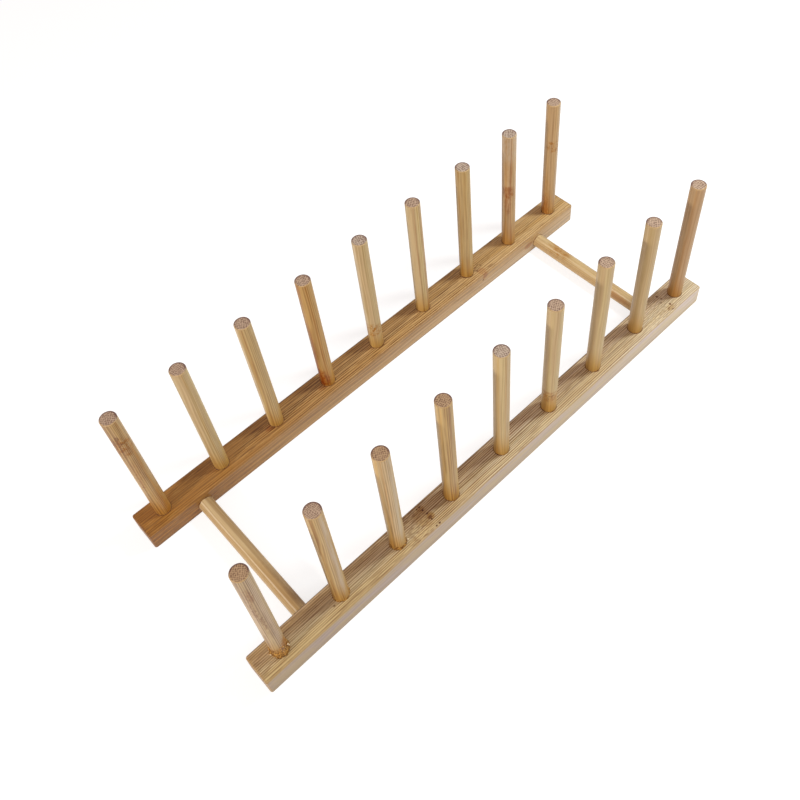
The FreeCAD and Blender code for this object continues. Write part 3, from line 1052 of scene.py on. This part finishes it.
# Width, height and lumpiness of the bead at a dowel's mouths, whose dark colour is painted contact shade.
DOWEL_BEAD = (0.3, 0.25, 0.0)
# What is added to the seeds of the front pegs' and the dowels' beads.
FRONT_SEED = 20
DOWEL_SEED = 50

dice = random.Random(20)
for row in ("back", "front"):
    for number in PEG_NUMBERS:
        peg = f"{row}_peg_{number}"
        middle, radius = shaft(peg)
        middle.z = RAIL_TOP / MM
        width, height, lumps, crumbs, largest = CRUSTS.get(peg, THIN_BEAD)
        shape = bmesh.new()
        seed = number + FRONT_SEED * (row == "front")
        bead(shape, middle, (ALONG_X, ALONG_Y, ALONG_Z), radius, width, height, lumps, seed)
        for lump in range(crumbs):
            outward = in_plan(dice.uniform(*CRUMB_ARC))
            size = largest * dice.uniform(LEAST_CRUMB, 1.0)
            rise = height * CRUMB_REACH * dice.random()
            out = radius + CRUMB_OUT * size + CRUMB_ON_BEAD * width
            crumb(shape, middle + outward * out + ALONG_Z * rise, size, lump)
        glue_piece(peg + "_glue", shape, AMBER_GLUE if crumbs else GLUE_DARK_AS_CONTACT_SHADE)
        if peg in DROPS:
            shape = bmesh.new()
            for angle, distance, rise, size in DROPS[peg]:
                crumb(shape, middle + in_plan(angle) * (radius + distance) + ALONG_Z * rise, size, angle)
            glue_piece(peg + "_glue_drops", shape, GLINT_PAINTED_GLUE)
for dowel in DOWEL_WOOD:
    for rail, side in (("front_rail", 1), ("back_rail", -1)):
        middle, radius = shaft(dowel)
        low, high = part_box(rail)
        middle.y = (high.y if side > 0 else low.y) / MM
        shape = bmesh.new()
        axes = (ALONG_X, ALONG_Z, ALONG_Y * side)
        bead(shape, middle, axes, radius, *DOWEL_BEAD, DOWEL_SEED + side + middle.x)
        glue_piece(f"{dowel}_{rail}_glue", shape, GLUE_DARK_AS_CONTACT_SHADE)

# The studio: white floor, pale background, a lamp at each end, a softer one in front and light all round

BACKGROUND = 1.0
AMBIENT = 0.40
AMBIENT_TINT = (1.0, 0.81, 0.77, 1)
# The floor: its half side and its drop below the rack, in metres, its colour as it lights the rack, and
# its colour and glow as the camera sees it.
FLOOR_HALF = 6.0
FLOOR_DROP = 0.05 * MM
FLOOR_PAPER = (0.82, 0.77, 0.75, 1)
FLOOR_SEEN = (0.4, 0.4, 0.4, 1)
FLOOR_GLOW = 0.76


def seen_directly(tree):
    """1 for what the camera sees, straight or in a reflection, and 0 for light that falls on the rack."""
    path = add_node(tree, "ShaderNodeLightPath").outputs
    seen = calc(tree, "MAXIMUM", path["Is Camera Ray"], path["Is Glossy Ray"])
    return calc(tree, "MAXIMUM", seen, path["Is Transmission Ray"])


def show(tree, lighting, seen, output):
    """One shader for the light that falls on the rack, and another for what the camera sees."""
    shaders = {0: seen_directly(tree), 1: lighting.outputs[0], 2: seen.outputs[0]}
    mixed = add_node(tree, "ShaderNodeMixShader", shaders)
    add_node(tree, output, {"Surface": mixed.outputs[0]})


def make_world():
    world = bpy.data.worlds.new("studio")
    bpy.context.scene.world = world
    world.use_nodes = True
    tree = world.node_tree
    tree.nodes.clear()
    around = add_node(tree, "ShaderNodeBackground", {"Color": AMBIENT_TINT, "Strength": AMBIENT})
    behind = add_node(tree, "ShaderNodeBackground", {"Strength": BACKGROUND})
    show(tree, around, behind, "ShaderNodeOutputWorld")


def make_floor():
    """A large white sheet. What the camera sees of it glows enough to look white, yet takes a shadow."""
    mesh = bpy.data.meshes.new("floor")
    corners = [(x * FLOOR_HALF, y * FLOOR_HALF, 0) for x, y in ((-1, -1), (1, -1), (1, 1), (-1, 1))]
    mesh.from_pydata(corners, [], [(0, 1, 2, 3)])
    floor = bpy.data.objects.new("floor", mesh)
    floor.location.z = -FLOOR_DROP
    bpy.context.scene.collection.objects.link(floor)
    floor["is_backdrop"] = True

    made, tree = new_material("white_floor")
    paper = add_node(tree, "ShaderNodeBsdfDiffuse", {"Color": FLOOR_PAPER})
    shade = add_node(tree, "ShaderNodeBsdfDiffuse", {"Color": FLOOR_SEEN})
    glow = add_node(tree, "ShaderNodeEmission", {"Strength": FLOOR_GLOW})
    seen = add_node(tree, "ShaderNodeAddShader", {0: shade.outputs[0], 1: glow.outputs[0]})
    show(tree, paper, seen, "ShaderNodeOutputMaterial")
    mesh.materials.append(made)


def lamp(name, place, size, level, colour):
    """A square lamp aimed at the rack. A white card there, facing it, would look `level` bright."""
    place = Vector(place)
    away = place - Vector((0, 0, RAIL_TOP))
    data = bpy.data.lights.new(name, "AREA")
    data.shape = "SQUARE"
    data.size = size
    data.energy = level * math.pi ** 2 * away.length_squared
    data.color = colour
    made = bpy.data.objects.new(name, data)
    made.location = place
    made.rotation_mode = "QUATERNION"
    made.rotation_quaternion = away.to_track_quat("Z", "Y")
    bpy.context.scene.collection.objects.link(made)


make_world()
make_floor()
COOL, WARM = (0.90, 1.0, 1.03), (1.0, 0.94, 0.88)
lamp("right_lamp", (0.395, -0.175, 0.52), size=0.10, level=0.53, colour=COOL)
lamp("left_lamp", (-1.30, -0.14, 0.66), size=0.12, level=0.40, colour=WARM)
lamp("front_softbox", (-0.60, -0.95, 0.90), size=1.00, level=0.14, colour=WARM)

# The camera, from the perspective of the rails, pegs and peg spacing in the 800 x 800 picture

PICTURE_SIDE_PX = 800
FOCAL_LENGTH_PX = 913.6
PRINCIPAL_POINT_PX = (420.5, 291.6)
CAMERA_AZIMUTH = math.radians(-38.59)
CAMERA_ELEVATION = math.radians(50.21)
CAMERA_ROLL = math.radians(-5.94)
CAMERA_DISTANCE = 0.5695
CAMERA_TARGET = Vector((0.0451, 0.0610, RAIL_TOP))
SENSOR_WIDTH_MM = 36.0
CLIP_START, CLIP_END = 0.01, 50.0


def make_camera():
    level = math.cos(CAMERA_ELEVATION)
    back = Vector((
        math.sin(CAMERA_AZIMUTH) * level,
        -math.cos(CAMERA_AZIMUTH) * level,
        math.sin(CAMERA_ELEVATION),
    ))
    right = Vector((math.cos(CAMERA_AZIMUTH), math.sin(CAMERA_AZIMUTH), 0))
    up = back.cross(right)
    rolled_right = math.cos(CAMERA_ROLL) * right + math.sin(CAMERA_ROLL) * up
    rolled_up = math.cos(CAMERA_ROLL) * up - math.sin(CAMERA_ROLL) * right
    data = bpy.data.cameras.new("camera")
    data.sensor_width = SENSOR_WIDTH_MM
    data.lens = SENSOR_WIDTH_MM * FOCAL_LENGTH_PX / PICTURE_SIDE_PX
    middle = PICTURE_SIDE_PX / 2
    data.shift_x = (middle - PRINCIPAL_POINT_PX[0]) / PICTURE_SIDE_PX
    data.shift_y = (PRINCIPAL_POINT_PX[1] - middle) / PICTURE_SIDE_PX
    data.clip_start = CLIP_START
    data.clip_end = CLIP_END
    camera = bpy.data.objects.new("camera", data)
    turn = Matrix((rolled_right, rolled_up, back)).transposed()
    camera.matrix_world = Matrix.Translation(CAMERA_TARGET + back * CAMERA_DISTANCE) @ turn.to_4x4()
    bpy.context.scene.collection.objects.link(camera)
    bpy.context.scene.camera = camera


make_camera()
bpy.context.scene.view_settings.view_transform = "Standard"

low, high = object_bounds()
